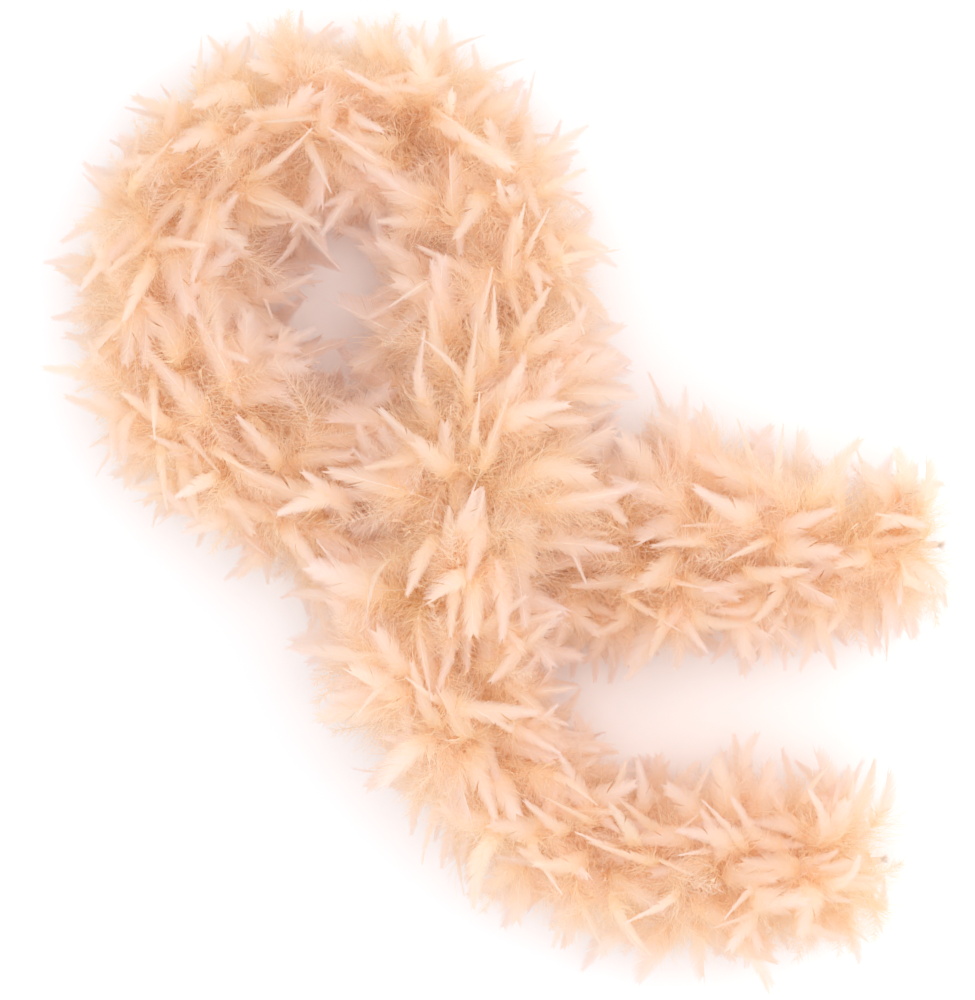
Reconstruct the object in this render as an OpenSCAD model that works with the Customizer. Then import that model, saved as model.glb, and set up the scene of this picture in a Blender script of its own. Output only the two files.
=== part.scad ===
// Feather boa, lying on a flat surface as a loop with two free tails.
// A two-ply cord carries tufts of feathers whose quills are caught between its plies.
// Each tail is parted at a few places along the cord, where the boa bends.

/* [Cord] */
// Radius of one of the two plies
ply_r = 1.4; // [1:0.1:1.5]
// Distance from the cord's centre line to the middle of each ply
ply_offset = 1.6; // [1.5:0.1:1.8]
// Length of cord that takes one full twist of the plies
ply_lay = 100; // [90:5:200]
// Gap left in the cord on each side of a place where it bends
bend_gap = 1.5; // [1:0.1:3]

/* [Feather tufts] */
// Number of tufts along the cord
tuft_count = 36; // [36:1:36]
// Feathers drawn in one tuft
feathers_per_tuft = 12; // [8:1:14]
// Reach of the feathers from the cord, to the sides
side_reach = 92; // [70:1:96]
// Reach of the feathers above and below the cord
top_reach = 84; // [70:1:90]
// Reach of the feathers on the inner side of the loop and beside the crossing
inner_reach = 60; // [40:1:64]
// Greatest width of one feather
feather_width = 26; // [16:1:30]
// Thickness of one feather
feather_thickness = 1.4; // [1:0.1:2]
// Turn of each feather about its own quill
feather_twist = 16; // [10:1:20]
// Lean of the feathers in the last tuft at each end, away from the boa
end_lean = 28; // [0:1:35]

/* [Quill roots] */
// Outer radius of the clump of quill roots round the cord
root_r = 8; // [6:0.5:10]
// Radius of the hole that the cord passes through
root_bore_r = 3.6; // [3.4:0.1:4]
// Length of the clump along the cord
root_len = 9; // [6:0.5:12]

/* [Cord ends] */
// Radius of the knot at each end
knot_r = 6; // [4.5:0.5:8]
// Length of the knot along the cord
knot_len = 9; // [7:0.5:10]
// Radius of the whipped end beyond the knot
whipping_r = 3.2; // [2.5:0.1:4]
// Length of the whipped end beyond the knot
whipping_len = 16; // [10:1:25]

/* [Crossing] */
// Height at which the lower strand's feathers are pressed flat
pressed_top = 76; // [70:1:76]
// Height at which the upper strand's feathers rest on the lower strand
raised_floor = 78; // [78:1:84]
// Half the length of cord that the crossing takes on each strand
crossing_half = 105; // [100:1:110]
// Half the length of cord over which the feathers beside the crossing are shorter
beside_half = 225; // [200:5:240]

/* [Hidden] */
// The cord's route from the end of the right tail, round the loop, to the end of the lower tail.
LAID = [
  [325, -40, 50], [258, -43, 55], [195, -50, 56], [125, -58, 54], [55, -62, 46],
  [-15, -60, 38], [-78, -47, 40], [-132, -22, 48], [-183, 12, 54], [-225, 50, 56],
  [-253, 98, 56], [-265, 152, 56], [-256, 204, 56], [-226, 250, 56], [-183, 285, 56],
  [-129, 302, 56], [-74, 295, 56], [-27, 269, 56], [6, 226, 56], [17, 175, 57],
  [12, 121, 64], [-2, 66, 82], [-17, 12, 104], [-27, -43, 116], [-29, -98, 108],
  [-16, -160, 84], [15, -214, 64], [62, -257, 56], [117, -282, 55], [180, -292, 56],
  [242, -291, 54], [281, -288, 50]
];
ROUTE_STEPS = 12;
// Brings the middle of the whole boa's outline to the origin.
TO_MIDDLE = [3, -4, 0];
ROUTE = [for (p = LAID) p + TO_MIDDLE];

// Tufts that each stretch of the boa carries, from the end of the right tail on.
STRETCHES = [
  ["right_tail_end", 1, 2], ["right_tail_mid", 3, 3], ["right_tail_root", 4, 4], ["loop", 5, 30],
  ["lower_tail_root", 31, 31], ["lower_tail_mid", 32, 33], ["lower_tail_low", 34, 34],
  ["lower_tail_end", 35, 36]
];
// Where along the cord the lower and the upper strand meet at the crossing.
LOWER_MEETS = 355;
UPPER_MEETS = 1370;
// Outline of a feather: how far along it, and the part of its half width there.
VANE = [[0, 0.14], [0.22, 0.5], [0.5, 1], [0.78, 0.8], [1, 0.04]];

PLY_SIDES = 8;
RING_STEP = 12.7;
TANGENT_STEP = 3;
QUILL_START = (root_r + root_bore_r) / 2;
ROOM = 1000;
$fn = 32;

function catmull(a, b, c, d, t) =
  0.5 * (2 * b + (c - a) * t + (2 * a - 5 * b + 4 * c - d) * t * t + (3 * b - a - 3 * c + d) * t * t * t);
last = len(ROUTE) - 1;
function route_knot(i) =
  i < 0 ? 2 * ROUTE[0] - ROUTE[1] : i > last ? 2 * ROUTE[last] - ROUTE[last - 1] : ROUTE[i];
line = [
  for (i = [0:last - 1], j = [0:ROUTE_STEPS - 1])
    catmull(route_knot(i - 1), route_knot(i), route_knot(i + 1), route_knot(i + 2), j / ROUTE_STEPS),
  ROUTE[last]
];
run = [for (i = 0, s = 0; i < len(line); s = s + norm(line[min(i + 1, len(line) - 1)] - line[i]), i = i + 1) s];
cord_length = run[len(run) - 1];
line_x = [for (i = [0:len(line) - 1]) [run[i], line[i][0]]];
line_y = [for (i = [0:len(line) - 1]) [run[i], line[i][1]]];
line_z = [for (i = [0:len(line) - 1]) [run[i], line[i][2]]];

// The cord's centre line, its direction, and the two directions across it, at a length along it.
function unit(v) = v / norm(v);
function at(s) = [lookup(s, line_x), lookup(s, line_y), lookup(s, line_z)];
function along(s) = unit(at(s + TANGENT_STEP) - at(s - TANGENT_STEP));
function side(s) = unit(cross([0, 0, 1], along(s)));
function rise(s) = cross(along(s), side(s));

tuft_pitch = cord_length / tuft_count;
function tuft_at(i) = (i - 0.5) * tuft_pitch;
function two_digits(i) = str(i < 10 ? "0" : "", i);

// Puts its children on the cord, with +X along it and +Z across it, upwards.
module on_cord(s) {
  t = along(s);
  translate(at(s)) rotate([0, -asin(t[2]), atan2(t[1], t[0])]) children();
}

// A flat pointed feather that stands up from the cord, turned a little about its quill.
module feather(reach, lean) {
  vane_length = reach - QUILL_START;
  outline = [for (p = VANE) [QUILL_START + p[0] * vane_length, p[1] * feather_width / 2]];
  back = [for (k = [len(VANE) - 1:-1:0]) [outline[k][0], -outline[k][1]]];
  rotate([0, lean - 90, 0])
    rotate([feather_twist, 0, 0])
      linear_extrude(height = feather_thickness, center = true) polygon(concat(outline, back));
}

// How far a feather reaches at an angle from straight up, between the top's reach and the side's.
function reach_at(angle, to_side) =
  let (across = abs(sin(angle))) top_reach + (to_side - top_reach) * pow(across, 2);

// The loop's inner side is on the right of its run from the right tail's end.
function near_crossing(s) = abs(s - LOWER_MEETS) < beside_half || abs(s - UPPER_MEETS) < beside_half;
function in_loop(s) = s > LOWER_MEETS && s < UPPER_MEETS;
function left_reach(s) = near_crossing(s) ? inner_reach : side_reach;
function right_reach(s) = near_crossing(s) || in_loop(s) ? inner_reach : side_reach;

module feather_tuft(i) {
  s = tuft_at(i);
  lean = i == 1 ? -end_lean : i == tuft_count ? end_lean : 0;
  half_turn = (i % 2) * 180 / feathers_per_tuft;
  low = abs(s - UPPER_MEETS) < crossing_half ? raised_floor : 0;
  high = abs(s - LOWER_MEETS) < crossing_half ? pressed_top : ROOM;
  color([0.98, 0.83, 0.72]) intersection() {
    on_cord(s) difference() {
      union() {
        rotate([0, 90, 0]) cylinder(r = root_r, h = root_len, center = true);
        for (k = [0:feathers_per_tuft - 1]) {
          angle = half_turn + k * 360 / feathers_per_tuft;
          to_side = sin(angle) > 0 ? left_reach(s) : right_reach(s);
          rotate([-angle, 0, 0]) feather(reach_at(angle, to_side), lean);
        }
      }
      rotate([0, 90, 0]) cylinder(r = root_bore_r, h = 2 * root_len, center = true);
    }
    translate([-ROOM, -ROOM, low]) cube([2 * ROOM, 2 * ROOM, high - low]);
  }
}

// One ply of the cord from one length along it to another, as a tube swept along its helix.
module cord_ply(from, to, phase) {
  rings = ceil((to - from) / RING_STEP) + 1;
  stops = [for (j = [0:rings - 1]) from + (to - from) * j / (rings - 1)];
  function ply_centre(s) =
    let (turn = phase + 360 * s / ply_lay) at(s) + ply_offset * (cos(turn) * side(s) + sin(turn) * rise(s));
  points = [
    for (s = stops, k = [0:PLY_SIDES - 1])
      let (a = 360 * k / PLY_SIDES) ply_centre(s) + ply_r * (cos(a) * side(s) + sin(a) * rise(s))
  ];
  function corner(j, k) = j * PLY_SIDES + k % PLY_SIDES;
  walls = [
    for (j = [0:rings - 2], k = [0:PLY_SIDES - 1], half = [0, 1])
      half == 0
        ? [corner(j, k), corner(j + 1, k), corner(j, k + 1)]
        : [corner(j + 1, k), corner(j + 1, k + 1), corner(j, k + 1)]
  ];
  start_cap = [for (k = [0:PLY_SIDES - 1]) corner(0, k)];
  end_cap = [for (k = [PLY_SIDES - 1:-1:0]) corner(rings - 1, k)];
  color([0.96, 0.88, 0.8]) polyhedron(points, concat(walls, [start_cap, end_cap]), convexity = 10);
}

// A stretch's cord runs from one bend to the next, and to the knot at each end of the boa.
function stretch_start(s) = s[1] == 1 ? 0 : (s[1] - 1) * tuft_pitch + bend_gap;
function stretch_end(s) = s[2] == tuft_count ? cord_length : s[2] * tuft_pitch - bend_gap;
module cord_ply_a(s) { cord_ply(stretch_start(s), stretch_end(s), 0); }
module cord_ply_b(s) { cord_ply(stretch_start(s), stretch_end(s), 180); }

// A knot pulled tight against the end of the cord; outwards is 1 at the far end and -1 at the start.
module end_knot(s, outwards) {
  color([0.95, 0.85, 0.76]) on_cord(s) translate([outwards * knot_len / 2, 0, 0]) intersection() {
    union() {
      sphere(r = knot_r);
      rotate([0, 38, 0]) rotate_extrude() translate([knot_r - 1, 0]) circle(r = ply_r + 0.4);
      rotate([40, 90, 20]) rotate_extrude() translate([knot_r - 1, 0]) circle(r = ply_r + 0.4);
    }
    cube([knot_len, ROOM, ROOM], center = true);
  }
}

// The cord's tail beyond the knot, wound with thread so that it doesn't fray.
module whipped_end(s, outwards) {
  color([0.93, 0.8, 0.7]) on_cord(s)
    translate([outwards * (knot_len + whipping_len / 2), 0, 0])
      rotate([0, 90, 0]) cylinder(r = whipping_r, h = whipping_len, center = true);
}

for (i = [1:tuft_count])
  feather_tuft(i);
for (s = STRETCHES)
  cord_ply_a(s);
for (s = STRETCHES)
  cord_ply_b(s);
end_knot(0, -1);  // end_knot_right
end_knot(cord_length, 1);  // end_knot_lower
whipped_end(0, -1);  // whipped_end_right
whipped_end(cord_length, 1);  // whipped_end_lower
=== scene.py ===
"""A feather boa laid in a loop with two free tails, on a pale surface, seen from straight above.

All lengths are in metres, in the part's own frame: +Z up, the two tails' ends towards +X.
"""

import math

import bpy
import numpy as np
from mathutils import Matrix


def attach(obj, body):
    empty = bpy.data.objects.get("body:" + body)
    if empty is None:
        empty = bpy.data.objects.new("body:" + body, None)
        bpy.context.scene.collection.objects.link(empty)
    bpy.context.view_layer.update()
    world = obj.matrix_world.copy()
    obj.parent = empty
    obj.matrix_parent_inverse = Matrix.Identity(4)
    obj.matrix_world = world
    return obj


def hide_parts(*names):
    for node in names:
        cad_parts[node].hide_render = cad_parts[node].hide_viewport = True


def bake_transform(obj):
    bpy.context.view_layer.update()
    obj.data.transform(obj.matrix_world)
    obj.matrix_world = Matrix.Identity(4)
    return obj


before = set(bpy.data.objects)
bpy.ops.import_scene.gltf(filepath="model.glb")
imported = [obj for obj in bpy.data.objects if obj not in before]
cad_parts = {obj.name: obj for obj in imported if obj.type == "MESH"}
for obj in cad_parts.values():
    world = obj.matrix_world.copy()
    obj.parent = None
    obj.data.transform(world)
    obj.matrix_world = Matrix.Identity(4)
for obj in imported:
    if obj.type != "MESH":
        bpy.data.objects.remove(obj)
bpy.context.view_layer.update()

MM = 0.001
TAU = 2 * math.pi

# The cord's route, from the end of the right tail, round the loop, to the end of the lower tail.
LAID = MM * np.array([
    [325, -40, 50], [258, -43, 55], [195, -50, 56], [125, -58, 54], [55, -62, 46],
    [-15, -60, 38], [-78, -47, 40], [-132, -22, 48], [-183, 12, 54], [-225, 50, 56],
    [-253, 98, 56], [-265, 152, 56], [-256, 204, 56], [-226, 250, 56], [-183, 285, 56],
    [-129, 302, 56], [-74, 295, 56], [-27, 269, 56], [6, 226, 56], [17, 175, 57],
    [12, 121, 64], [-2, 66, 82], [-17, 12, 104], [-27, -43, 116], [-29, -98, 108],
    [-16, -160, 84], [15, -214, 64], [62, -257, 56], [117, -282, 55], [180, -292, 56],
    [242, -291, 54], [281, -288, 50],
])
TO_MIDDLE = MM * np.array([3, -4, 0])
ROUTE = LAID + TO_MIDDLE
ROUTE_STEPS = 12
TANGENT_STEP = 3 * MM
TUFTS = 36

# The boa bends after these tufts: the body before the bend, and the body after it.
BENDS = {
    2: ("right_tail_end", "right_tail_mid"),
    3: ("right_tail_mid", "right_tail_root"),
    4: ("right_tail_root", "loop"),
    30: ("loop", "lower_tail_root"),
    31: ("lower_tail_root", "lower_tail_mid"),
    33: ("lower_tail_mid", "lower_tail_low"),
    34: ("lower_tail_low", "lower_tail_end"),
}
# Half the length of a bend, as a share of the tufts' spacing.
BEND_SHARE = 0.45
# Where each stretch of looks runs, counted in tufts from the right tail's end.
# (first, last, the bend that it crosses or None, the tufts that it stands for)
STRETCHES = [
    (0, 2.5, 2, [1, 2]), (2.5, 3.5, 3, [3]), (3.5, 4.5, 4, [4]),
    (4.5, 29.5, None, list(range(5, 31))),
    (29.5, 30.5, 30, [31]), (30.5, 32.2, 31, [32]), (32.2, 33.5, 33, [33, 34]),
    (33.5, TUFTS, 34, [35, 36]),
]

# The cord.
PLY_RADIUS = 1.5 * MM
PLY_OFFSET = 1.45 * MM
PLY_LAY = 14 * MM
THREAD_RADIUS = 0.25 * MM
THREAD_PITCH = 8 * MM
KNOT_LENGTH, KNOT_RADIUS = 9 * MM, 3.9 * MM
TAIL_LENGTH, TAIL_RADIUS = 16 * MM, 2.5 * MM
WINDING_RADIUS, WINDING_TURNS = 0.4 * MM, 22
FRAYED_FIBRES, FIBRE_RADIUS = 60, 0.12 * MM

# The feathers.
FEATHERS_PER_TUFT = 58
FLOOR_GAP = 0.4 * MM
TALLEST = 197 * MM
# How far the feathers reach, as a share of their own length.
# (place along the cord in millimetres, to its left, to its right)
REACH = np.array([
    [0, 0.82, 0.82], [60, 0.90, 0.98], [120, 0.90, 1.2], [170, 0.86, 1.40],
    [260, 0.82, 1.48], [330, 0.92, 1.05], [390, 0.72, 1.1], [440, 0.80, 1.55],
    [480, 0.73, 1.55], [530, 0.62, 1.5], [610, 0.92, 1.35], [680, 0.76, 1.3],
    [880, 0.80, 1.14], [1000, 0.84, 1.10], [1080, 0.78, 1.25], [1160, 0.86, 1.38],
    [1230, 1.15, 1.4], [1310, 1.3, 1.1], [1380, 1.15, 1.1], [1430, 0.92, 1.30],
    [1490, 0.83, 1.42], [1530, 0.78, 0.94], [1600, 0.78, 1.09], [1680, 0.78, 0.94],
    [1750, 1.04, 0.88], [1800, 1.02, 0.86], [1847, 0.80, 0.80],
]) * [MM, 1, 1]


# ---------------------------------------------------------------- the route


def catmull(a, b, c, d, t):
    """A point between b and c on a smooth curve through all four."""
    return 0.5 * (2 * b + (c - a) * t + (2 * a - 5 * b + 4 * c - d) * t**2 + (3 * b - a - 3 * c + d) * t**3)


def smooth_line(points, steps):
    knots = [2 * points[0] - points[1], *points, 2 * points[-1] - points[-2]]
    line = [
        catmull(*knots[i:i + 4], j / steps)
        for i in range(len(points) - 1)
        for j in range(steps)
    ]
    return np.array([*line, points[-1]])


LINE = smooth_line(ROUTE, ROUTE_STEPS)
RUN = np.concatenate([[0], np.cumsum(np.linalg.norm(np.diff(LINE, axis=0), axis=1))])
CORD_LENGTH = RUN[-1]
PITCH = CORD_LENGTH / TUFTS


def unit(v):
    return v / np.maximum(np.linalg.norm(v, axis=-1, keepdims=True), 1e-12)


def at(s):
    """The cord's centre line at a length along it."""
    return np.stack([np.interp(s, RUN, LINE[:, k]) for k in range(3)], axis=-1)


def along(s):
    s = np.asarray(s, float)
    return unit(at(s + TANGENT_STEP) - at(s - TANGENT_STEP))


def side(s):
    """To the left of the cord's run, level."""
    return unit(np.cross([0, 0, 1], along(s)))


def rise(s):
    return np.cross(along(s), side(s))


# ---------------------------------------------------------------- meshes


def mesh_piece(name, points, quads, finishes, finish_of=None, uv=None):
    """A piece from its points and its four-sided faces, all smooth."""
    mesh = bpy.data.meshes.new(name)
    mesh.vertices.add(len(points))
    mesh.vertices.foreach_set("co", np.asarray(points, np.float32).ravel())
    mesh.loops.add(4 * len(quads))
    mesh.polygons.add(len(quads))
    mesh.polygons.foreach_set("loop_start", np.arange(0, 4 * len(quads), 4, dtype=np.int32))
    mesh.polygons.foreach_set("vertices", np.asarray(quads, np.int32).ravel())
    mesh.polygons.foreach_set("use_smooth", np.ones(len(quads), bool))
    for finish in finishes:
        mesh.materials.append(finish)
    if finish_of is not None:
        mesh.polygons.foreach_set("material_index", np.asarray(finish_of, np.int32))
    mesh.update(calc_edges=True)
    if uv is not None:
        layer = mesh.uv_layers.new(name="OFBake")
        layer.data.foreach_set("uv", np.asarray(uv, np.float32)[np.asarray(quads).ravel()].ravel())
    piece = bpy.data.objects.new(name, mesh)
    bpy.context.scene.collection.objects.link(piece)
    return piece


def tube(centres, radii, sides, first=None, second=None):
    """Points and faces of a tube along a line, and where each point is: along it and round it."""
    centres = np.asarray(centres, float)
    rings = len(centres)
    if first is None:
        tangent = unit(np.gradient(centres, axis=0))
        guide = np.where(np.abs(tangent[:, 2:]) > 0.9, [[1.0, 0, 0]], [[0, 0, 1.0]])
        first = unit(np.cross(guide, tangent))
        second = np.cross(tangent, first)
    turn = TAU * np.arange(sides) / sides
    ring = np.cos(turn)[None, :, None] * first[:, None] + np.sin(turn)[None, :, None] * second[:, None]
    points = centres[:, None] + ring * np.broadcast_to(radii, rings)[:, None, None]
    j, k = np.meshgrid(np.arange(rings - 1), np.arange(sides), indexing="ij")
    nxt = (k + 1) % sides
    quads = np.stack([j * sides + k, j * sides + nxt, (j + 1) * sides + nxt, (j + 1) * sides + k], -1)
    place = np.stack(np.broadcast_arrays(
        np.linspace(0, 1, rings)[:, None], (np.arange(sides) / sides)[None, :]), -1)
    return points.reshape(-1, 3), quads.reshape(-1, 4), place.reshape(-1, 2)


def joined(parts):
    """Several (points, faces, ...) lists as one."""
    offset = 0
    points, quads, rest = [], [], []
    for p, q, *more in parts:
        points.append(p)
        quads.append(q + offset)
        rest.append(more)
        offset += len(p)
    return (np.concatenate(points), np.concatenate(quads), *[np.concatenate(x) for x in zip(*rest)])


# ---------------------------------------------------------------- finishes


class Socket:
    """An output of a shader node, on which Python's operators add Math nodes."""

    def __init__(self, finish, output):
        self.finish, self.output = finish, output

    def math(self, operation, first, second=0.0):
        return self.finish.node("ShaderNodeMath", {"operation": operation}, {0: first, 1: second})

    def __add__(self, other):
        return self.math("ADD", self, other)

    def __radd__(self, other):
        return self.math("ADD", other, self)

    def __mul__(self, other):
        return self.math("MULTIPLY", self, other)

    def __rmul__(self, other):
        return self.math("MULTIPLY", other, self)

    def wave(self):
        return self.math("SINE", self)


class Finish:
    """A material being made."""

    def __init__(self, name):
        self.material = bpy.data.materials.new(name)
        self.material.use_nodes = True
        self.tree = self.material.node_tree
        self.tree.nodes.clear()

    def node(self, kind, settings=None, inputs=None, output=0):
        """Adds a node: its settings first, then the values or links of its sockets."""
        made = self.tree.nodes.new(kind)
        for key, value in (settings or {}).items():
            if key == "stops":
                self.set_stops(made.color_ramp, value)
            else:
                setattr(made, key, value)
        for key, value in (inputs or {}).items():
            if isinstance(value, Socket):
                self.tree.links.new(value.output, made.inputs[key])
            else:
                made.inputs[key].default_value = value
        return Socket(self, made.outputs[output]) if made.outputs else None

    @staticmethod
    def set_stops(ramp, stops):
        while len(ramp.elements) > 1:
            ramp.elements.remove(ramp.elements[-1])
        for i, (place, colour) in enumerate(stops):
            stop = ramp.elements[0] if i == 0 else ramp.elements.new(place)
            stop.position = place
            stop.color = (*colour, 1)

    def mixed(self, share, first, second):
        """Two colours mixed."""
        rgba = [v if isinstance(v, Socket) else (*v, 1) for v in (first, second)]
        inputs = {0: share, 6: rgba[0], 7: rgba[1]}
        return self.node("ShaderNodeMix", {"data_type": "RGBA"}, inputs, output=2)

    def done(self, shader):
        self.node("ShaderNodeOutputMaterial", None, {"Surface": shader})
        return self.material


def feather_finish():
    """Dyed barbs that light passes through: deeper orange at the root, paler at the tip.

    The ramp is partly the dye and partly painted shade. The deep orange at the root is painted shade for the
    depths of the strand, and the lilac-pale tip is painted shade for the boa's rim. The map's first
    coordinate runs from a feather's root to its tip. Its second is the feather's own random tone, plus
    painted shade from how upright the feather stands.
    """
    f = Finish("feather_barbs_dye_and_painted_shade")
    place = f.node("ShaderNodeUVMap", {"uv_map": "OFBake"})
    root_to_tip = f.node("ShaderNodeSeparateXYZ", None, {0: place})
    tone = Socket(f, root_to_tip.output.node.outputs[1])
    # The ramp is dye and painted shade: a deep orange root for the shade in the strand's depths, and a
    # lilac-pale tip for the shade at the boa's rim.
    dye = f.node("ShaderNodeValToRGB", {"stops": [
        (0.0, (0.999, 0.815, 0.36)), (0.30, (0.999, 0.835, 0.54)), (0.58, (0.998, 0.86, 0.72)),
        (0.82, (0.988, 0.865, 0.80)), (1.0, (0.975, 0.88, 0.88)),
    ]}, {0: root_to_tip})
    streaks = f.node("ShaderNodeTexNoise", {"noise_dimensions": "2D"}, {
        "Vector": f.node("ShaderNodeCombineXYZ", None, {0: root_to_tip * 3.0, 1: tone * 60.0}),
        "Scale": 4.0, "Detail": 3.0, "Roughness": 0.6,
    })
    uneven = f.mixed(streaks * 0.3, dye, (0.985, 0.87, 0.81))
    # The tone mixes a feather towards orange. Its random part is the feather's own, and its part from how
    # upright the feather stands is painted shade.
    colour = f.mixed(tone * 0.48, uneven, (0.999, 0.827, 0.55))
    barbules = f.node("ShaderNodeBump", None, {
        "Strength": 0.25, "Distance": 0.0002, "Height": (root_to_tip * 900.0).wave() * 0.5 + streaks,
    })
    front = f.node("ShaderNodeBsdfPrincipled", None, {
        "Base Color": colour, "Roughness": 0.55 + streaks * 0.25, "Normal": barbules,
        "Specular IOR Level": 0.15,
    })
    through = f.node("ShaderNodeBsdfTranslucent", None, {"Color": colour})
    return f.done(f.node("ShaderNodeMixShader", None, {0: 0.6, 1: front, 2: through}))


def quill_finish():
    """The pale, slightly glossy shaft of a feather."""
    f = Finish("feather_quill")
    place = f.node("ShaderNodeUVMap", {"uv_map": "OFBake"})
    root_to_tip = f.node("ShaderNodeSeparateXYZ", None, {0: place})
    colour = f.node("ShaderNodeValToRGB", {"stops": [
        (0.0, (0.93, 0.70, 0.48)), (0.4, (0.98, 0.84, 0.70)), (1.0, (0.99, 0.90, 0.82)),
    ]}, {0: root_to_tip})
    fibres = f.node("ShaderNodeTexNoise", {"noise_dimensions": "2D"}, {"Vector": place, "Scale": 90.0})
    return f.done(f.node("ShaderNodeBsdfPrincipled", None, {
        "Base Color": colour, "Roughness": 0.3 + fibres * 0.2, "Specular IOR Level": 0.5,
    }))


def cotton_finish(name, dye, pale, fibre_scale):
    """Twisted or wound cotton, with its fibres in the bump."""
    f = Finish(name)
    place = f.node("ShaderNodeUVMap", {"uv_map": "OFBake"})
    stretched = f.node("ShaderNodeMapping", None, {"Vector": place, "Scale": (1.0, 8.0, 1.0)})
    fibres = f.node("ShaderNodeTexNoise", None, {"Vector": stretched, "Scale": fibre_scale, "Detail": 4.0})
    bump = f.node("ShaderNodeBump", None, {"Strength": 0.5, "Distance": 0.0003, "Height": fibres})
    return f.done(f.node("ShaderNodeBsdfPrincipled", None, {
        "Base Color": f.mixed(fibres, dye, pale), "Roughness": 0.7 + fibres * 0.25, "Normal": bump,
        "Sheen Weight": 0.3,
    }))


def floor_finish():
    f = Finish("pale_floor")
    place = f.node("ShaderNodeTexCoord", output=3)
    grain = f.node("ShaderNodeTexNoise", None, {"Vector": place, "Scale": 60.0, "Detail": 3.0})
    return f.done(f.node("ShaderNodeBsdfPrincipled", None, {
        "Base Color": f.mixed(grain, (0.94, 0.96, 0.98), (0.96, 0.975, 0.985)),
        "Roughness": 0.8 + grain * 0.1,
    }))


BARBS = feather_finish()
QUILL = quill_finish()
CORD_COTTON = cotton_finish("cord_cotton", (0.86, 0.58, 0.36), (0.95, 0.78, 0.60), 30.0)
THREAD_COTTON = cotton_finish("thread_cotton", (0.93, 0.74, 0.58), (0.98, 0.88, 0.78), 60.0)


# ---------------------------------------------------------------- camera and lights


CAMERA_PLACE = (0.001, -0.008, 2.44)
SENSOR_WIDTH, LENS = 36, 110
# Each softbox: its name, place, size in metres and power in watts.
SOFTBOXES = [
    ("overhead", (0.2, 0.2, 2.9), 2.4, 16),
    ("right_key", (1.9, 0.5, 1.7), 1.2, 8),
    ("left_fill", (-1.8, -0.9, 1.6), 1.6, 5),
]
ROOM_COLOUR, ROOM_STRENGTH = (0.93, 0.94, 0.97, 1), 1.02
FLOOR_HALF = 6.0


def add_camera():
    """Looks straight down at the middle of the boa."""
    data = bpy.data.cameras.new("above")
    data.sensor_width = SENSOR_WIDTH
    data.lens = LENS
    camera = bpy.data.objects.new("above", data)
    camera.location = CAMERA_PLACE
    bpy.context.scene.collection.objects.link(camera)
    bpy.context.scene.camera = camera


def add_softbox(name, place, size, power):
    """A square light that faces the middle of the boa."""
    data = bpy.data.lights.new(name, "AREA")
    data.size = size
    data.energy = power
    light = bpy.data.objects.new(name, data)
    light.location = place
    gaze = -np.array(place, float)
    across = np.hypot(gaze[0], gaze[1])
    light.rotation_euler = (math.atan2(across, -gaze[2]), 0, math.atan2(gaze[1], gaze[0]) - math.pi / 2)
    bpy.context.scene.collection.objects.link(light)


def add_lights():
    """The softboxes and the pale room round them. Light passes many barbs, so it may bounce often."""
    for softbox in SOFTBOXES:
        add_softbox(*softbox)
    world = bpy.data.worlds.new("room")
    world.use_nodes = True
    background = world.node_tree.nodes["Background"]
    background.inputs["Color"].default_value = ROOM_COLOUR
    background.inputs["Strength"].default_value = ROOM_STRENGTH
    bpy.context.scene.world = world
    bpy.context.scene.view_settings.view_transform = "Standard"
    bpy.context.scene.view_settings.gamma = 1.12
    bounces = bpy.context.scene.cycles
    bounces.max_bounces = 24
    bounces.diffuse_bounces = 16
    bounces.transmission_bounces = 24


def add_floor():
    corners = [(x * FLOOR_HALF, y * FLOOR_HALF, 0) for x, y in ((-1, -1), (1, -1), (1, 1), (-1, 1))]
    floor = mesh_piece("floor", corners, [[0, 1, 2, 3]], [floor_finish()])


# ---------------------------------------------------------------- the cord and its ends


def bend_or_ride(piece, bend):
    """Puts a piece on the loop when it crosses no bend; a piece at a bend stays where it was made."""
    if bend is None:
        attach(piece, "loop")
        return
    middle, half = bend * PITCH, BEND_SHARE * PITCH
    at(middle - half)
    at(middle + half)
    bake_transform(piece)


def helix(stops, radius, lay, phase):
    turn = phase + TAU * stops / lay
    return at(stops) + radius * (np.cos(turn)[:, None] * side(stops) + np.sin(turn)[:, None] * rise(stops))


def helix_tube(start, stop, helix_radius, tube_radius, lay, phase, steps, sides):
    stops = np.linspace(start, stop, max(8, int((stop - start) / lay * steps)))
    return tube(helix(stops, helix_radius, lay, phase), tube_radius, sides, side(stops), rise(stops))


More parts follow.
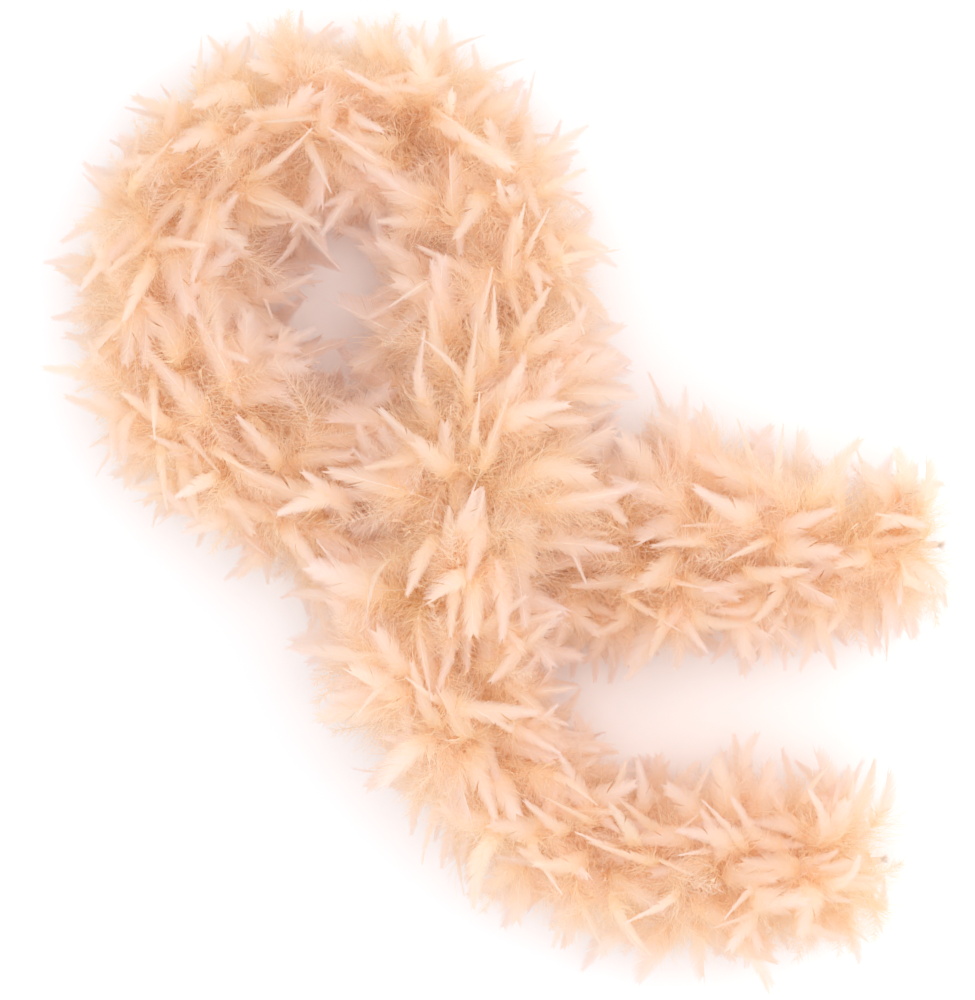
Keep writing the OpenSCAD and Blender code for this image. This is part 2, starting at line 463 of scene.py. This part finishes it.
def add_cord(first, last, bend, tufts):
    """One stretch of the two-ply cord, with the thread that binds the feathers to it."""
    start, stop = first * PITCH, last * PITCH
    label = "loop" if bend is None else f"bend_{bend:02d}"
    plies = joined([
        helix_tube(start, stop, PLY_OFFSET, PLY_RADIUS, PLY_LAY, phase, 10, 10) for phase in (0, math.pi)
    ])
    cord = mesh_piece(f"core_cord_{label}", plies[0], plies[1], [CORD_COTTON], uv=plies[2])
    wound = helix_tube(start, stop, 2 * PLY_RADIUS + THREAD_RADIUS, THREAD_RADIUS, -THREAD_PITCH, 0.4, 14, 6)
    thread = mesh_piece(f"binding_thread_{label}", wound[0], wound[1], [THREAD_COTTON], uv=wound[2])
    bodies = ["loop"] if bend is None else BENDS[bend]
    stands_for = [
        f"cord_ply_{ply}_{body}" for body in bodies for ply in "ab" if body not in CORDED
    ]
    CORDED.update(bodies)
    if stands_for:
        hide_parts(*stands_for)
    for piece, slot in ((cord, "cord"), (thread, "whipping")):
        bend_or_ride(piece, bend)
    path = at(np.linspace(start, stop, max(12, int((stop - start) / (4 * MM)))))
    ends = {0: "right", TUFTS: "lower"}
    end = ends.get(first) or ends.get(last)
    if first == 0:
        path = path[::-1]
    with_pieces = [thread] + (add_end(end) if end else [])
    stop - start


def outwards(end):
    """The last point of the cord at an end of the boa, and the way out of it."""
    s, sign = (0.0, -1) if end == "right" else (CORD_LENGTH, 1)
    way = sign * along(s)
    level = unit(np.cross([0, 0, 1], way))
    return at(s), way, level, np.cross(way, level)


def add_end(end):
    """The knot at an end of the cord and the whipped tail beyond it."""
    place, way, level, up = outwards(end)
    body = "right_tail_end" if end == "right" else "lower_tail_end"

    def put(local):
        return place + local[:, :1] * way + local[:, 1:2] * level + local[:, 2:3] * up

    turn = np.linspace(0, TAU, 90, endpoint=False)
    wave = KNOT_RADIUS * (1 + 0.38 * np.cos(3 * turn))
    lobes = np.stack([
        KNOT_LENGTH / 2 + 2.4 * MM * np.sin(3 * turn), wave * np.cos(2 * turn), wave * np.sin(2 * turn)], -1)
    closed = np.concatenate([lobes, lobes[:1]])
    knot_points, knot_quads, knot_place = tube(put(closed), 1.7 * MM, 10)
    knot = mesh_piece(f"overhand_knot_{end}", knot_points, knot_quads, [CORD_COTTON], uv=knot_place)

    steps = np.linspace(0, 1, 24)
    core = np.stack([KNOT_LENGTH * 0.6 + (TAIL_LENGTH + 3 * MM) * steps, 0 * steps, 0 * steps], -1)
    core_tube = tube(put(core), TAIL_RADIUS * np.where(steps > 0.97, 0.6, 1), 12)
    coil = np.linspace(0, 1, 480)
    winds = WINDING_TURNS * TAU * coil
    wound = np.stack([
        KNOT_LENGTH + TAIL_LENGTH * coil, TAIL_RADIUS * np.cos(winds), TAIL_RADIUS * np.sin(winds)], -1)
    winding = tube(put(wound), WINDING_RADIUS, 6)
    rng = np.random.default_rng(71 if end == "right" else 72)
    fibres = []
    for _ in range(FRAYED_FIBRES):
        spread = rng.normal(0, 0.45, 3) * [0.2, 1, 1]
        root = np.array([KNOT_LENGTH + TAIL_LENGTH, *rng.normal(0, 0.9 * MM, 2)])
        reach = np.linspace(0, 1, 5)[:, None] * rng.uniform(4, 8) * MM
        strand = root + reach * unit(np.array([1.0, 0, 0]) + spread)
        fibres.append(tube(put(strand), FIBRE_RADIUS, 3))
    whipped = joined([core_tube, winding, *fibres])
    tail = mesh_piece(f"whipped_tail_{end}", whipped[0], whipped[1], [THREAD_COTTON], uv=whipped[2])

    for piece, node, slot in ((knot, f"end_knot_{end}", "knot"), (tail, f"whipped_end_{end}", "whipping")):
        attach(piece, body)
        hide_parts(node)
    return [knot, tail]


# ---------------------------------------------------------------- the feathers' patterns

BARB_STEP = 1.25 * MM
BARB_POINTS = 4
DOWN_STEP = 0.66 * MM
DOWN_POINTS = 4
QUILL_RINGS = 12
QUILL_SIDES = 3
QUILL_ROOT, QUILL_TIP = 0.7 * MM, 0.12 * MM
CAMBER = 5.0
# How far a vane's barbs stand off the quill, in degrees: at its start, and how much less at its tip.
BARB_LEAN, BARB_LEAN_LOSS = 56, 34
# The share of a feather at which its down begins, and how far the down runs on beside the vane.
DOWN_FROM, DOWN_PAST_VANE = 0.06, 0.14
# How far a feather may curve to one side, as a share of its length.
SWEEP = 0.16


def ribbons(centres, across, half_widths, shade):
    """Flat ribbons: centres and across are (ribbon, point, 3), half_widths (ribbon, point)."""
    count, points = centres.shape[:2]
    offset = across * half_widths[..., None]
    verts = np.stack([centres - offset, centres + offset], 2).reshape(-1, 3)
    r, k = np.meshgrid(np.arange(count), np.arange(points - 1), indexing="ij")
    low = (r * points + k) * 2
    quads = np.stack([low, low + 1, low + 3, low + 2], -1).reshape(-1, 4)
    shades = np.repeat(shade[..., None], 2, axis=2).reshape(-1)
    edge = np.tile([-1.0, 1.0], count * points)
    own = np.repeat(np.arange(count), points * 2)
    return verts, quads, shades, edge, own


def lock_values(rng, count, spread, sizes=(5, 16)):
    """One random value for each lock of neighbouring barbs that cling together."""
    values = np.empty(count)
    i = 0
    while i < count:
        size = rng.integers(*sizes)
        values[i:i + size] = rng.normal(0, spread)
        i += size
    return values


def vane(rng, length, half_width, vane_from, point, ragged):
    """The flat part of a feather: two rows of barbs that cling together in locks."""
    rows = []
    for hand in (-1, 1):
        y0 = np.arange(vane_from * length, length - 1.0 * MM, BARB_STEP)
        t = np.clip((y0 / length - vane_from) / (1 - vane_from), 0, 1)
        count = len(y0)
        swell = np.clip(0.7 + 0.7 * t, 0, 1) * (1 - point * t**2.2)
        uneven = lock_values(rng, count, 0.10 * ragged) + rng.normal(0, 0.06, count)
        reach = half_width * swell * (1.3 + uneven)
        lean = np.radians(BARB_LEAN - BARB_LEAN_LOSS * t**1.3) + lock_values(rng, count, 0.09 * ragged)
        lift = lock_values(rng, count, 0.5 * MM * ragged)
        u = np.linspace(0, 1, BARB_POINTS)[None, :]
        angle = lean[:, None] * (1 - 0.35 * u)
        step = reach[:, None] / (BARB_POINTS - 1)
        dx = np.cumsum(np.sin(angle) * step, 1) - np.sin(angle) * step
        dy = np.cumsum(np.cos(angle) * step, 1) - np.cos(angle) * step
        x, y = hand * dx, y0[:, None] + dy
        z = lift[:, None] * u**2 - CAMBER * x**2
        tilt = rng.normal(0, 0.08, (count, 1)) * np.ones_like(u)
        across = unit(np.stack([hand * np.cos(angle), -np.sin(angle), tilt], -1))
        spacing = BARB_STEP * np.sin(angle)
        half = np.maximum(0.66 * spacing, 0.2 * MM) * (1 - 0.75 * u**1.8)
        rows.append(ribbons(np.stack([x, y, z], -1), across, half, 0.45 + 0.5 * t[:, None] + 0.06 * u))
    return rows


def down(rng, length, down_from, down_to, reach, width, loose, angle, pale):
    """Soft barbs: they lie close beside the quill, and are drawn out to hairs further off."""
    rows = []
    for hand in (-1, 1):
        y0 = np.arange(down_from * length, down_to * length, DOWN_STEP)
        y0 = y0 + rng.normal(0, 2.0 * MM * loose, len(y0))
        count = len(y0)
        way = unit(np.stack([
            np.full(count, hand * 1.0),
            rng.normal(angle, 0.6 * loose, count) + lock_values(rng, count, 0.10),
            rng.normal(0, loose, count) + lock_values(rng, count, 0.12)], -1))
        curl = rng.normal(0, 0.45 * loose, (count, 3)) + [0, 0.15, 0]
        shorter = np.clip((length - y0) / (0.35 * length), 0.3, 1)
        long = reach * shorter * rng.uniform(0.7, 1.15, count) / (DOWN_POINTS - 1)
        centre = np.stack([np.zeros(count), y0, np.zeros(count)], -1)
        centres = [centre]
        for _ in range(DOWN_POINTS - 1):
            way = unit(way + curl + rng.normal(0, 0.04 + 0.3 * loose, (count, 3)))
            centre = centre + way * long[:, None]
            centres.append(centre)
        centres = np.stack(centres, 1)
        off = np.array([0, 0, 1.0]) + rng.normal(0, 1.2 * loose, (count, 1, 3))
        across = unit(np.cross(np.gradient(centres, axis=1), off))
        u = np.linspace(0, 1, DOWN_POINTS)[None, :]
        half = width / 2 * (1 - 0.7 * u) * np.ones((count, 1))
        rows.append(ribbons(centres, across, half, 0.05 + pale * y0[:, None] / length + 0.3 * u))
    return rows


def quill(length):
    y = np.linspace(0, 0.985 * length, QUILL_RINGS)
    centres = np.stack([0 * y, y, 0 * y], -1)
    radii = QUILL_ROOT + (QUILL_TIP - QUILL_ROOT) * (y / y[-1]) ** 0.8
    flat = np.tile([[1.0, 0, 0]], (QUILL_RINGS, 1)), np.tile([[0, 0, 1.0]], (QUILL_RINGS, 1))
    points, quads, _ = tube(centres, radii, QUILL_SIDES, *flat)
    return points, quads, points[:, 1] / length


class Pattern:
    """One flat feather: x across, y from root to tip, z off its face. Without a vane it is a plume of down.

    half_width is the vane's, vane_from the share of the length where it starts, point how far it narrows,
    and ragged how uneven its locks of barbs are.
    """

    def __init__(self, seed, length, half_width, vane_from, point, ragged, down_reach):
        rng = np.random.default_rng(seed)
        self.length = length
        if vane_from < 1:
            barbs = vane(rng, length, half_width, vane_from, point, ragged)
            down_to = vane_from + DOWN_PAST_VANE
            barbs += down(rng, length, DOWN_FROM, down_to, down_reach, 0.42 * MM, 0.36, 0.4, 0.5)
        else:
            barbs = down(rng, length, DOWN_FROM, 0.99, down_reach, 0.40 * MM, 0.5, 0.6, 0.6)
        points, quads, shade, edge, own, offset, barb = [], [], [], [], [], 0, 0
        for p, q, s, e, o in barbs:
            points.append(p)
            quads.append(q + offset)
            shade.append(s)
            edge.append(e)
            own.append(o + barb)
            offset += len(p)
            barb = own[-1][-1] + 1
        self.barb_faces = sum(len(q) for q in quads)
        q_points, q_quads, q_shade = quill(length)
        points.append(q_points)
        quads.append(q_quads + offset)
        shade.append(q_shade)
        edge.append(np.tile([-1.0, 0.0, 1.0], QUILL_RINGS))
        own.append(np.full(len(q_points), barb))
        self.points = np.concatenate(points)
        self.points[:, 0] += rng.uniform(-SWEEP, SWEEP) * length * (self.points[:, 1] / length) ** 2
        self.quads = np.concatenate(quads)
        own = np.concatenate(own)
        own_tone = rng.normal(0, 0.22, own.max() + 1)
        self.shade = np.clip(np.concatenate(shade), 0.01, 0.99)
        self.tone = own_tone[own] + 0.006 * np.concatenate(edge)
        self.finish_of = np.zeros(len(self.quads), int)
        self.finish_of[self.barb_faces:] = 1


PATTERNS = [
    Pattern(11, 102 * MM, 10.5 * MM, 0.44, 0.70, 1.2, 26 * MM),
    Pattern(12, 96 * MM, 12.5 * MM, 0.46, 0.66, 1.4, 28 * MM),
    Pattern(13, 106 * MM, 9.0 * MM, 0.44, 0.78, 1.0, 25 * MM),
    Pattern(14, 90 * MM, 11.5 * MM, 0.48, 0.62, 1.6, 29 * MM),
    Pattern(15, 98 * MM, 7.5 * MM, 0.46, 0.76, 1.2, 26 * MM),
    Pattern(16, 92 * MM, 10.5 * MM, 0.50, 0.40, 2.0, 28 * MM),
    Pattern(17, 108 * MM, 5.0 * MM, 0.44, 0.78, 1.2, 23 * MM),
    Pattern(21, 80 * MM, 0, 1, 0, 0, 28 * MM),
    Pattern(22, 74 * MM, 0, 1, 0, 0, 23 * MM),
    Pattern(23, 90 * MM, 0, 1, 0, 0, 26 * MM),
]
# How many of the feathers follow each pattern.
PATTERN_SHARES = [0.11, 0.09, 0.11, 0.08, 0.09, 0.07, 0.07, 0.14, 0.11, 0.13]

# ---------------------------------------------------------------- the feathers on the cord

# The points along each feather's line.
STATIONS = 16
# A longer stretch than this many tufts is made in two pieces.
LONGEST_PIECE = 2.2
# Where along the cord the two strands cross, and how far the crossing reaches on either side.
LOWER_MEETS, UPPER_MEETS = 358 * MM, 1385 * MM
LOWER_HALF, UPPER_HALF = 95 * MM, 170 * MM
# The lower strand under the crossing: how far its feathers stand up, and its bulge under the upper strand.
LOWER_TOP, BULGE_HEIGHT, BULGE_HALF = 84 * MM, 62 * MM, 86 * MM
FEATHER_REST = 2.5 * MM
# How far towards +X the feathers of each tail may reach, and the step over which they turn away before it.
RIGHT_FURTHEST, LOWER_FURTHEST, FURTHEST_STEP = 343 * MM, 304 * MM, 45 * MM
EDGE = 382 * MM
# The step over which a feather turns away from what is under it, and from the tallest height.
PRESS_STEP = 14 * MM


def ground_under(points, upper):
    """Height of what a feather rests on: the floor, or the lower strand where the upper one crosses it."""
    height = np.full(len(points), FEATHER_REST)
    if not upper.any():
        return height
    stops = np.linspace(LOWER_MEETS - 140 * MM, LOWER_MEETS + 140 * MM, 60)
    strand = at(stops)[:, :2]
    gap = np.linalg.norm(points[:, None, :2] - strand[None], axis=2).min(1)
    bulge = BULGE_HEIGHT * np.sqrt(np.clip(1 - (gap / BULGE_HALF) ** 2, 0, 1))
    return np.where(upper, np.maximum(height, bulge), height)


def grow(rng, s):
    """Each feather's line, the directions across it, its pattern, its size and how upright it stands."""
    count = len(s)
    forward, left, up = along(s), side(s), rise(s)
    turn = rng.uniform(0, TAU, count)
    down_ones = (np.sin(turn) < -0.35) & (rng.random(count) < 0.35)
    turn = np.where(down_ones, -turn, turn)
    radial = np.cos(turn)[:, None] * left + np.sin(turn)[:, None] * up
    from_end = np.minimum(s, CORD_LENGTH - s)
    outward = np.where(s < CORD_LENGTH / 2, -1.0, 1.0)
    near_end = np.clip(1 - from_end / (45 * MM), 0, 1)
    lean = rng.normal(0, 0.42, count) + outward * near_end * rng.uniform(0, 1.2, count)
    furthest = np.where(s < CORD_LENGTH / 2, RIGHT_FURTHEST, LOWER_FURTHEST)
    furthest = furthest + rng.uniform(-34, 16, count) * MM
    way = unit(radial + lean[:, None] * forward + rng.normal(0, 0.12, (count, 3)))

    # The tip bends over until the feather's face lies on the boa's outside, or shows from above.
    noise = rng.normal(0, 0.35, (count, 3))
    face = unit(np.array([0, 0, 1.0]) + 0.4 * radial + noise)
    upright = np.clip(np.sin(turn), 0, 1)
    swing = rng.normal(0, 0.75, count) + upright * rng.uniform(-2.4, 2.4, count)
    outside = radial * [1, 1, 0.4] + rng.normal(0, 0.1, (count, 3))
    tip = np.cos(swing)[:, None] * outside + np.sin(swing)[:, None] * forward
    tip += radial * (upright * rng.uniform(0, 0.9, count))[:, None]
    tip = unit(tip - (tip * face).sum(1, keepdims=True) * face * 0.85)
    across = unit(np.cross(face, tip))
    begins = rng.uniform(0.0, 0.3, count)
    ends = rng.uniform(0.55, 1.0, count)
    twist = rng.normal(0, 0.3, count)

    pick = rng.choice(len(PATTERNS), count, p=PATTERN_SHARES)
    leftward = np.cos(turn)
    to_left, to_right = (np.interp(s, REACH[:, 0], REACH[:, k]) - 1 for k in (1, 2))
    reach = 1 + to_left * np.clip(leftward, 0, 1) + to_right * np.clip(-leftward, 0, 1)
    size = reach * rng.normal(1.0, 0.06, count).clip(0.86, 1.14)
    length = np.array([PATTERNS[k].length for k in pick]) * size
    step = length / (STATIONS - 1)

    place = at(s) + radial * rng.uniform(0.5, 2.5, count)[:, None] * MM
    upper = np.abs(s - UPPER_MEETS) < UPPER_HALF
    top = np.where(np.abs(s - LOWER_MEETS) < LOWER_HALF, LOWER_TOP, TALLEST)
    line, wide = [place], []
    for k in range(STATIONS):
        share = np.clip((k / (STATIONS - 1) - begins) / (ends - begins), 0, 1)
        share = share * share * (3 - 2 * share)
        direction = unit(way * (1 - share)[:, None] + tip * share[:, None])
        direction[:, 2] -= 0.08 * share
        direction = unit(direction)
        room = place[:, 2] - ground_under(place, upper)
        least = -np.clip(room / PRESS_STEP, 0, 1)
        direction[:, 2] = np.maximum(direction[:, 2], least)
        most = np.clip((top - place[:, 2]) / PRESS_STEP, -0.2, 1)
        direction[:, 2] = np.minimum(direction[:, 2], most)
        outermost = np.clip((furthest - place[:, 0]) / FURTHEST_STEP, -0.1, 1)
        direction[:, 0] = np.minimum(direction[:, 0], outermost)
        level = np.hypot(direction[:, 0], direction[:, 1])
        stuck = level < 0.15
        direction[stuck, :2] += tip[stuck, :2] * 0.5
        direction = unit(direction)
        wing = unit(across - (across * direction).sum(1, keepdims=True) * direction)
        own_twist = twist * share
        off = np.cross(wing, direction)
        wing = np.cos(own_twist)[:, None] * wing + np.sin(own_twist)[:, None] * off
        lying = unit(np.cross([0, 0, 1.0], direction))
        lying = lying * np.sign((lying * wing).sum(1, keepdims=True) + 1e-9)
        flatten = np.clip(1 - room / (16 * MM), 0, 1)[:, None] * 0.85
        wing = unit(wing * (1 - flatten) + lying * flatten)
        wide.append(wing)
        if k < STATIONS - 1:
            place = place + direction * step[:, None]
            line.append(place)
    return np.stack(line, 1), np.stack(wide, 1), pick, size, upright


def bend_pattern(pattern, size, line, wide):
    """A pattern's points, laid along one feather's own line."""
    local = pattern.points * size
    reach = np.clip(local[:, 1] / (pattern.length * size), 0, 1.25) * (STATIONS - 1)
    low = np.minimum(reach.astype(int), STATIONS - 2)
    share = (reach - low)[:, None]
    spine = line[low] + (line[low + 1] - line[low]) * share
    wing = unit(wide[low] * (1 - share) + wide[low + 1] * share)
    direction = unit(line[low + 1] - line[low])
    off = np.cross(wing, direction)
    return spine + wing * local[:, :1] + off * local[:, 2:3]


def feather_pieces(label, rng, first, last, parts):
    """All the feathers rooted between two places on the cord, as one piece or two."""
    count = round((last - first) * FEATHERS_PER_TUFT)
    s = (first + (last - first) * (np.arange(count) + rng.random(count)) / count) * PITCH
    line, wide, pick, size, upright = grow(rng, s)
    # Each feather's tone is random, plus painted shade from how it stands: upright feathers are deeper
    # orange, and those lying outward are paler.
    tones_and_painted_shade = np.clip(rng.beta(2, 2.6, count) + 0.35 * (upright - 0.6), 0, 1)
    names = [f"feathers_{label}"] if parts == 1 else [f"feathers_{label}_a", f"feathers_{label}_b"]
    pieces = []
    for name, part in zip(names, np.array_split(np.arange(count), parts)):
        points, quads, finish_of, uv, offset = [], [], [], [], 0
        for i in part:
            pattern = PATTERNS[pick[i]]
            laid = bend_pattern(pattern, size[i], line[i], wide[i])
            points.append(laid)
            quads.append(pattern.quads + offset)
            finish_of.append(pattern.finish_of)
            uv.append(np.stack([pattern.shade, np.clip(tones_and_painted_shade[i] + pattern.tone, 0.005, 0.995)], -1))
            offset += len(laid)
        points = np.concatenate(points)
        rest = FLOOR_GAP + 1.2 * MM * rng.random(len(points))
        points[:, 2] = np.clip(points[:, 2], rest, TALLEST + 8 * MM)
        points[:, 0] = np.minimum(points[:, 0], EDGE)
        pieces.append(mesh_piece(name, points, np.concatenate(quads), [BARBS, QUILL],
                                 np.concatenate(finish_of), np.concatenate(uv)))
    return pieces


def add_feathers():
    """The feathers of each tail stretch in one piece or two, and the loop's in shorter pieces."""
    seed = 100
    for first, last, bend, tufts in STRETCHES:
        cuts = [first, last] if bend is not None else np.linspace(first, last, 10)
        shares = np.array_split(tufts, len(cuts) - 1)
        parts = 1 if cuts[1] - cuts[0] < LONGEST_PIECE else 2
        for k in range(len(cuts) - 1):
            seed += 1
            label = f"bend_{bend:02d}" if bend is not None else f"loop_{k + 1}"
            pieces = feather_pieces(label, np.random.default_rng(seed), cuts[k], cuts[k + 1], parts)
            for piece, stood_for in zip(pieces, np.array_split(shares[k], parts)):
                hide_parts(*[f"feather_tuft_{i:02d}" for i in stood_for])
                bend_or_ride(piece, bend)


# ---------------------------------------------------------------- the whole

CORDED = set()
add_camera()
for stretch in STRETCHES:
    add_cord(*stretch)
add_feathers()
add_lights()
add_floor()
